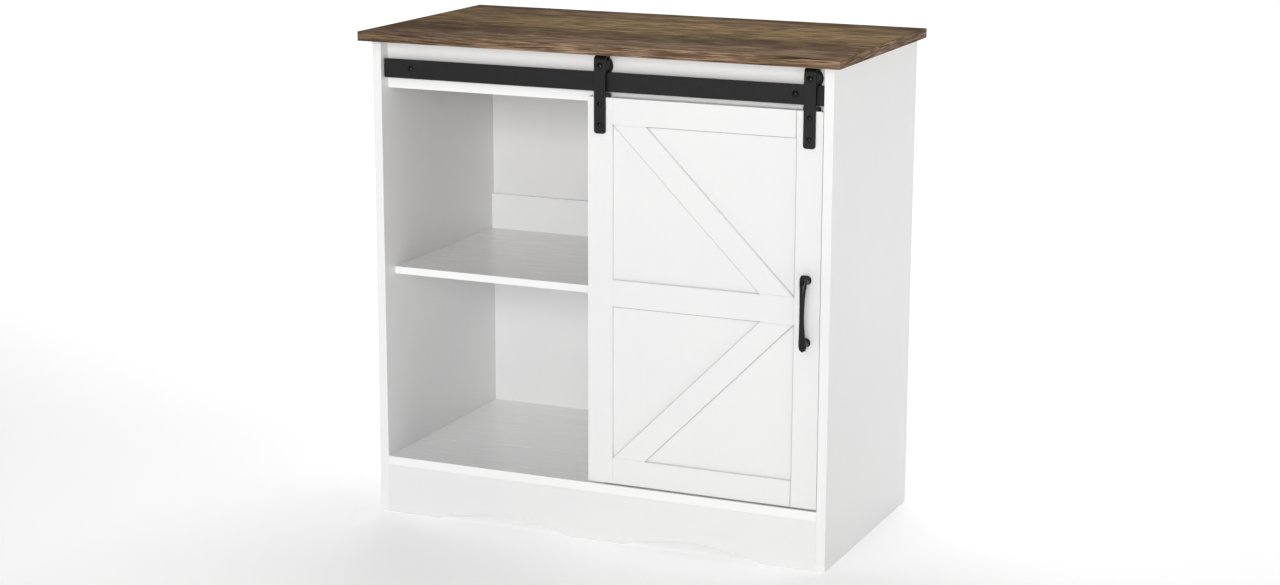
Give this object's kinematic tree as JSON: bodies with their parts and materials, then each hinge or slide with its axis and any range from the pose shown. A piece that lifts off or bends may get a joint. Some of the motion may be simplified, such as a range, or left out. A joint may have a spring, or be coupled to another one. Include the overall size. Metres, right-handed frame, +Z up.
{
  "type": "sideboard buffet",
  "caption": "Free-standing farmhouse sideboard with open shelves on one side and a sliding barn door on rollers over the other.",
  "frame": {"origin": "on the floor, under the middle of the top", "axes": "+X to the right seen from the front, +Y towards the back, +Z up"},
  "size_m": [0.8, 0.42, 0.79],
  "materials": {
    "top_laminate": "rustic oak print, matt, grain along the length",
    "white_board": "white melamine, fine satin grain",
    "back_board": "white printed thin board",
    "black_steel": "matt black powder coat",
    "black_fasteners": "black oxide, satin",
    "black_handle": "satin black lacquer",
    "black_nylon": "moulded, matt",
    "clear_nylon": "natural nylon",
    "zinc_fittings": "zinc plated",
    "beech": "plain beech"
  },
  "bodies": {
    "cabinet": {"top_panel": "top_laminate", "left_side_panel": "white_board", "right_side_panel": "white_board", "bottom_panel": "white_board", "apron": "white_board", "header_rail": "white_board", "centre_divider": "white_board", "left_shelf": "white_board", "right_shelf": "white_board", "back_rail": "white_board", "upper_back_panel": "back_board", "lower_back_panel": "back_board", "track_bar": "black_steel", "track_spacers": "black_steel", "track_screws": "black_fasteners", "cam_locks": "zinc_fittings", "cam_pins": "zinc_fittings", "wood_dowels": "beech", "divider_screws": "zinc_fittings", "door_guide": "clear_nylon", "door_guide_screws": "zinc_fittings"},
    "door": {"door_panel": "white_board", "left_stile": "white_board", "right_stile": "white_board", "door_top_rail": "white_board", "door_middle_rail": "white_board", "door_bottom_rail": "white_board", "upper_brace": "white_board", "lower_brace": "white_board", "handle": "black_handle", "handle_screws": "zinc_fittings", "left_hanger": "black_steel", "right_hanger": "black_steel", "hanger_screws": "black_fasteners", "roller_axles": "black_fasteners", "roller_washers": "black_fasteners", "anti_jump_pads": "black_nylon", "anti_jump_screws": "black_fasteners"},
    "left_roller": {"left_roller": "black_nylon"},
    "right_roller": {"right_roller": "black_nylon"}
  },
  "joints": [
    {"name": "door_slide", "type": "slide", "parent": "cabinet", "child": "door", "axis": [-1, 0, 0], "range_m": [0, 0.354]},
    {"name": "left_roller_spin", "type": "hinge", "parent": "door", "child": "left_roller", "pos_m": [0.008, -0.1795, 0.755], "axis": [0, 1, 0], "continuous": true},
    {"name": "right_roller_spin", "type": "hinge", "parent": "door", "child": "right_roller", "pos_m": [0.347, -0.1795, 0.755], "axis": [0, 1, 0], "continuous": true}
  ],
  "couplings": [
    {"joint": "left_roller_spin", "follows": "door_slide", "rad_per_m": -111.11},
    {"joint": "right_roller_spin", "follows": "door_slide", "rad_per_m": -111.11}
  ]
}
